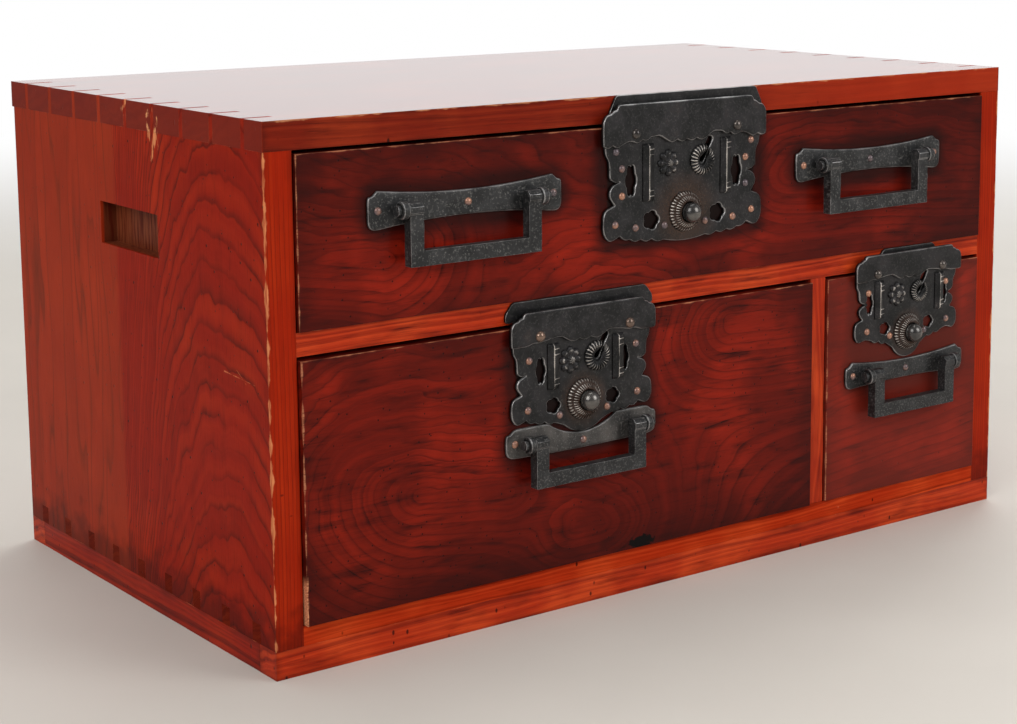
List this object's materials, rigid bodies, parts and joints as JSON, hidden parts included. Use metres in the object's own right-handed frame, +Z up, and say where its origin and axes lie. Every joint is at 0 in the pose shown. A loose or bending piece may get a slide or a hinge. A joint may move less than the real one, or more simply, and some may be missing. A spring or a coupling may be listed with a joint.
{
  "type": "sea chest",
  "caption": "Low lacquered wooden tansu sea chest with a wide drawer above a large and a small one, each with an iron lock plate and swinging bail handles.",
  "frame": {"origin": "on the floor under the middle of the whole chest", "axes": "+Z up, +X to the right seen from the front, the front faces -Y"},
  "size_m": [0.56, 0.3446, 0.3],
  "materials": {
    "case_wood": "worn red-orange lacquer over open grain",
    "top_wood": "pale worn top, satin",
    "drawer_wood": "dark red lacquer over burl grain",
    "inner_wood": "bare aged paulownia",
    "peg_wood": "plain wooden pegs",
    "iron": "black hammered iron, worn bright on its edges",
    "nails": "dull copper-coloured forged nails"
  },
  "bodies": {
    "case": {"top_board": "top_wood", "bottom_board": "case_wood", "left_side_board": "case_wood", "right_side_board": "case_wood", "back_board": "inner_wood", "base_front_rail": "case_wood", "base_back_rail": "case_wood", "base_left_rail": "case_wood", "base_right_rail": "case_wood", "middle_rail": "case_wood", "middle_shelf": "inner_wood", "partition_board": "case_wood", "strike_plates": "iron", "case_pegs": "peg_wood"},
    "upper_drawer": {"upper_drawer_front": "drawer_wood", "upper_drawer_left_side": "inner_wood", "upper_drawer_right_side": "inner_wood", "upper_drawer_back": "inner_wood", "upper_drawer_bottom": "inner_wood", "upper_drawer_pegs": "peg_wood", "upper_lock_plate": "iron", "upper_lock_cover": "iron", "upper_lock_trim": "iron", "upper_handle_plates": "iron", "upper_handle_eyes": "iron", "upper_drawer_nails": "nails"},
    "upper_button": {"upper_lock_button": "iron"},
    "upper_bolt": {"upper_lock_bolt": "iron"},
    "upper_left_bail": {"upper_left_bail": "iron"},
    "upper_right_bail": {"upper_right_bail": "iron"},
    "large_drawer": {"large_drawer_front": "drawer_wood", "large_drawer_left_side": "inner_wood", "large_drawer_right_side": "inner_wood", "large_drawer_back": "inner_wood", "large_drawer_bottom": "inner_wood", "large_drawer_pegs": "peg_wood", "large_lock_plate": "iron", "large_lock_cover": "iron", "large_lock_trim": "iron", "large_handle_plate": "iron", "large_handle_eyes": "iron", "large_drawer_nails": "nails"},
    "large_button": {"large_lock_button": "iron"},
    "large_bolt": {"large_lock_bolt": "iron"},
    "large_bail": {"large_bail": "iron"},
    "small_drawer": {"small_drawer_front": "drawer_wood", "small_drawer_left_side": "inner_wood", "small_drawer_right_side": "inner_wood", "small_drawer_back": "inner_wood", "small_drawer_bottom": "inner_wood", "small_drawer_pegs": "peg_wood", "small_lock_plate": "iron", "small_lock_cover": "iron", "small_lock_trim": "iron", "small_handle_plate": "iron", "small_handle_eyes": "iron", "small_drawer_nails": "nails"},
    "small_button": {"small_lock_button": "iron"},
    "small_bolt": {"small_lock_bolt": "iron"},
    "small_bail": {"small_bail": "iron"}
  },
  "joints": [
    {"name": "upper_drawer_slide", "type": "slide", "parent": "case", "child": "upper_drawer", "axis": [0, -1, 0], "range_m": [0, 0.24]},
    {"name": "upper_button_press", "type": "slide", "parent": "upper_drawer", "child": "upper_button", "axis": [0, 1, 0], "range_m": [0, 0.003], "stiffness_N_per_m": 500},
    {"name": "upper_bolt_throw", "type": "slide", "parent": "upper_drawer", "child": "upper_bolt", "axis": [0, 0, 1], "range_m": [0, 0.008]},
    {"name": "upper_left_bail_hinge", "type": "hinge", "parent": "upper_drawer", "child": "upper_left_bail", "pos_m": [-0.1555, -0.16275, 0.248], "axis": [-1, 0, 0], "range_deg": [0, 170]},
    {"name": "upper_right_bail_hinge", "type": "hinge", "parent": "upper_drawer", "child": "upper_right_bail", "pos_m": [0.1555, -0.16275, 0.248], "axis": [-1, 0, 0], "range_deg": [0, 170]},
    {"name": "large_drawer_slide", "type": "slide", "parent": "case", "child": "large_drawer", "axis": [0, -1, 0], "range_m": [0, 0.24]},
    {"name": "large_button_press", "type": "slide", "parent": "large_drawer", "child": "large_button", "axis": [0, 1, 0], "range_m": [0, 0.003], "stiffness_N_per_m": 500},
    {"name": "large_bolt_throw", "type": "slide", "parent": "large_drawer", "child": "large_bolt", "axis": [0, 0, 1], "range_m": [0, 0.008]},
    {"name": "large_bail_hinge", "type": "hinge", "parent": "large_drawer", "child": "large_bail", "pos_m": [-0.07725, -0.16375, 0.106], "axis": [-1, 0, 0], "range_deg": [0, 120]},
    {"name": "small_drawer_slide", "type": "slide", "parent": "case", "child": "small_drawer", "axis": [0, -1, 0], "range_m": [0, 0.24]},
    {"name": "small_button_press", "type": "slide", "parent": "small_drawer", "child": "small_button", "axis": [0, 1, 0], "range_m": [0, 0.003], "stiffness_N_per_m": 500},
    {"name": "small_bolt_throw", "type": "slide", "parent": "small_drawer", "child": "small_bolt", "axis": [0, 0, 1], "range_m": [0, 0.008]},
    {"name": "small_bail_hinge", "type": "hinge", "parent": "small_drawer", "child": "small_bail", "pos_m": [0.19225, -0.16225, 0.107], "axis": [-1, 0, 0], "range_deg": [0, 120]}
  ]
}
